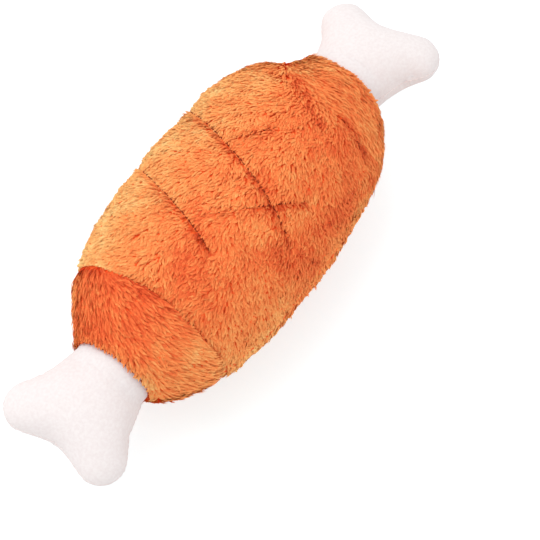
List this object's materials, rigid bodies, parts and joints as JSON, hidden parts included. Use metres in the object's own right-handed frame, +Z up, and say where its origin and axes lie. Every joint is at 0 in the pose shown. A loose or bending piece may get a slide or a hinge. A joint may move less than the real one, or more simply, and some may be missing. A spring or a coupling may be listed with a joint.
{
  "type": "squeaky plush dog toy",
  "caption": "Stuffed plush barrel with topstitched rows and a two-lobed stuffed bone end at each side, with a bulb squeaker inside.",
  "frame": {"origin": "on the floor under the middle of the toy's bounding box, as it lies on its belly panel", "axes": "+X along the toy from the near bone to the far bone, +Y to its left side seam, +Z up through the crown panel"},
  "size_m": [0.2094, 0.076, 0.0755],
  "materials": {
    "orange_plush": "short pile plush, combed and clumpy",
    "seam_thread": "matt thread",
    "topstitch_thread": "matt thread",
    "bone_cloth": "smooth fine pile",
    "fibre_fill": "loose polyester fibre",
    "squeaker_vinyl": "soft blown vinyl",
    "valve_plastic": "moulded",
    "reed_brass": "rolled strip"
  },
  "bodies": {
    "base": {"belly_panel": "orange_plush", "near_end_panel": "orange_plush", "far_end_panel": "orange_plush", "near_end_seam": "seam_thread", "far_end_seam": "seam_thread", "left_side_seam": "seam_thread", "right_side_seam": "seam_thread", "lower_stuffing": "fibre_fill", "squeaker_bulb": "squeaker_vinyl", "squeaker_valve": "valve_plastic", "squeaker_reed": "reed_brass", "squeaker_reed_clip": "valve_plastic"},
    "crown": {"crown_panel": "orange_plush", "topstitch_long_near": "topstitch_thread", "topstitch_long_far": "topstitch_thread", "topstitch_short_near": "topstitch_thread", "topstitch_short_far": "topstitch_thread", "upper_stuffing": "fibre_fill"},
    "near_neck": {"near_neck_seam": "seam_thread"},
    "near_bone": {"near_bone_upper_panel": "bone_cloth", "near_bone_lower_panel": "bone_cloth", "near_bone_stuffing": "fibre_fill", "near_bone_edge_seam": "bone_cloth"},
    "far_neck": {"far_neck_seam": "seam_thread"},
    "far_bone": {"far_bone_upper_panel": "bone_cloth", "far_bone_lower_panel": "bone_cloth", "far_bone_stuffing": "fibre_fill", "far_bone_edge_seam": "bone_cloth"}
  },
  "joints": [
    {"name": "crown_press", "type": "slide", "parent": "base", "child": "crown", "axis": [0, 0, -1], "range_m": [0, 0.012], "stiffness_N_per_m": 450, "springref_m": -0.001, "deforming": ["crown_panel", "topstitch_long_near", "topstitch_long_far", "topstitch_short_near", "topstitch_short_far", "lower_stuffing", "squeaker_bulb"]},
    {"name": "near_bone_nod", "type": "hinge", "parent": "base", "child": "near_neck", "pos_m": [-0.06711, 0, 0.0375], "axis": [0, 1, 0], "range_deg": [-15, 15], "stiffness_Nm_per_rad": 0.2},
    {"name": "near_bone_sway", "type": "hinge", "parent": "near_neck", "child": "near_bone", "pos_m": [-0.06711, 0, 0.0375], "axis": [0, 0, 1], "range_deg": [-15, 15], "stiffness_Nm_per_rad": 0.2},
    {"name": "far_bone_nod", "type": "hinge", "parent": "base", "child": "far_neck", "pos_m": [0.07089, -0.0025, 0.0375], "axis": [0, 1, 0], "range_deg": [-15, 15], "stiffness_Nm_per_rad": 0.2},
    {"name": "far_bone_sway", "type": "hinge", "parent": "far_neck", "child": "far_bone", "pos_m": [0.07089, -0.0025, 0.0375], "axis": [0, 0, 1], "range_deg": [-15, 15], "stiffness_Nm_per_rad": 0.2}
  ]
}
